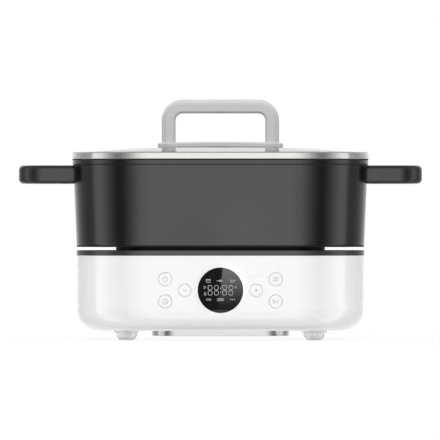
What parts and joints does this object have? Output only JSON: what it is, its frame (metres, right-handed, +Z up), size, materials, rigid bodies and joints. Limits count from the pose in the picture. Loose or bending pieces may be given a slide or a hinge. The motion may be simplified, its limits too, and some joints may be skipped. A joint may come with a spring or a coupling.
{
  "type": "electric hot pot",
  "caption": "Electric hot pot: a rounded-rectangular coated pot with loop handles and a domed glass lid, lifting off a white heating base with a round display and push keys.",
  "frame": {"origin": "on the table, under the middle of the whole object", "axes": "+X to the right along the side handles, +Y to the back, towards the power inlet, +Z up; the display faces -Y"},
  "size_m": [0.402, 0.2396, 0.2399],
  "materials": {
    "base_white": "smooth semi-gloss moulding",
    "deck_black": "fine satin moulding",
    "seal_black": "matte silicone",
    "plate_metal": "dark coated casting",
    "element_steel": "satin",
    "tray_metal": "bright pressed sheet",
    "screw_steel": "zinc plated",
    "switch_black": "moulded",
    "board_green": "lacquered board",
    "window_black": "polished tinted window",
    "module_grey": "moulded",
    "pin_brass": "nickel-washed brass",
    "lead_grey": "sleeved lead",
    "pot_coating": "satin charcoal coating on cast aluminium",
    "handle_black": "satin moulding",
    "lid_glass": "clear toughened glass",
    "rim_steel": "polished steel band",
    "handle_silver": "satin silver",
    "foot_silicone": "pale silicone"
  },
  "bodies": {
    "base": {"base_housing": "base_white", "top_deck": "deck_black", "plate_seal": "seal_black", "hot_plate": "plate_metal", "heating_element": "element_steel", "heat_reflector": "tray_metal", "plate_screws": "screw_steel", "sensor_bracket": "element_steel", "sensor_spring": "screw_steel", "tact_switches": "switch_black", "control_board": "board_green", "control_board_screws": "screw_steel", "display_window": "window_black", "display_module": "module_grey", "inlet_socket": "switch_black", "inlet_pins": "pin_brass", "inlet_screws": "screw_steel", "bottom_cover": "base_white", "cover_screws": "screw_steel", "deck_screws": "screw_steel", "power_board": "board_green", "power_board_screws": "screw_steel", "board_components": "switch_black", "wiring": "lead_grey", "foot_front_left": "foot_silicone", "foot_front_right": "foot_silicone", "foot_rear_left": "foot_silicone", "foot_rear_right": "foot_silicone"},
    "pot": {"pot_body": "pot_coating", "handle_left": "handle_black", "handle_right": "handle_black", "handle_screws_left": "screw_steel", "handle_screws_right": "screw_steel"},
    "lid": {"lid_glass": "lid_glass", "lid_rim": "rim_steel", "lid_seal": "seal_black", "handle_base": "handle_silver", "handle_gasket": "seal_black", "lid_handle": "handle_silver", "lid_washers": "seal_black", "lid_screws": "screw_steel", "steam_vent": "rim_steel"},
    "sensor": {"sensor_cap": "plate_metal"},
    "key_power": {"key_power": "base_white"},
    "key_timer": {"key_timer": "base_white"},
    "key_mode": {"key_mode": "base_white"},
    "key_start": {"key_start": "base_white"},
    "key_minus": {"key_minus": "base_white"},
    "key_plus": {"key_plus": "base_white"}
  },
  "joints": [
    {"name": "pot_lift", "type": "slide", "parent": "base", "child": "pot", "axis": [0, 0, 1], "range_m": [0, 0.15]},
    {"name": "lid_lift", "type": "slide", "parent": "pot", "child": "lid", "axis": [0, 0, 1], "range_m": [0, 0.12]},
    {"name": "sensor_slide", "type": "slide", "parent": "base", "child": "sensor", "axis": [0, 0, 1], "range_m": [-0.0015, 0], "stiffness_N_per_m": 800, "springref_m": 0.002, "deforming": ["sensor_spring"]},
    {"name": "key_power_press", "type": "slide", "parent": "base", "child": "key_power", "axis": [0, 1, 0], "range_m": [0, 0.0006], "stiffness_N_per_m": 1500, "springref_m": -0.0005},
    {"name": "key_timer_press", "type": "slide", "parent": "base", "child": "key_timer", "axis": [0, 1, 0], "range_m": [0, 0.0006], "stiffness_N_per_m": 1500, "springref_m": -0.0005},
    {"name": "key_mode_press", "type": "slide", "parent": "base", "child": "key_mode", "axis": [0, 1, 0], "range_m": [0, 0.0006], "stiffness_N_per_m": 1500, "springref_m": -0.0005},
    {"name": "key_start_press", "type": "slide", "parent": "base", "child": "key_start", "axis": [0, 1, 0], "range_m": [0, 0.0006], "stiffness_N_per_m": 1500, "springref_m": -0.0005},
    {"name": "key_minus_press", "type": "slide", "parent": "base", "child": "key_minus", "axis": [0, 1, 0], "range_m": [0, 0.0006], "stiffness_N_per_m": 1500, "springref_m": -0.0005},
    {"name": "key_plus_press", "type": "slide", "parent": "base", "child": "key_plus", "axis": [0, 1, 0], "range_m": [0, 0.0006], "stiffness_N_per_m": 1500, "springref_m": -0.0005}
  ]
}
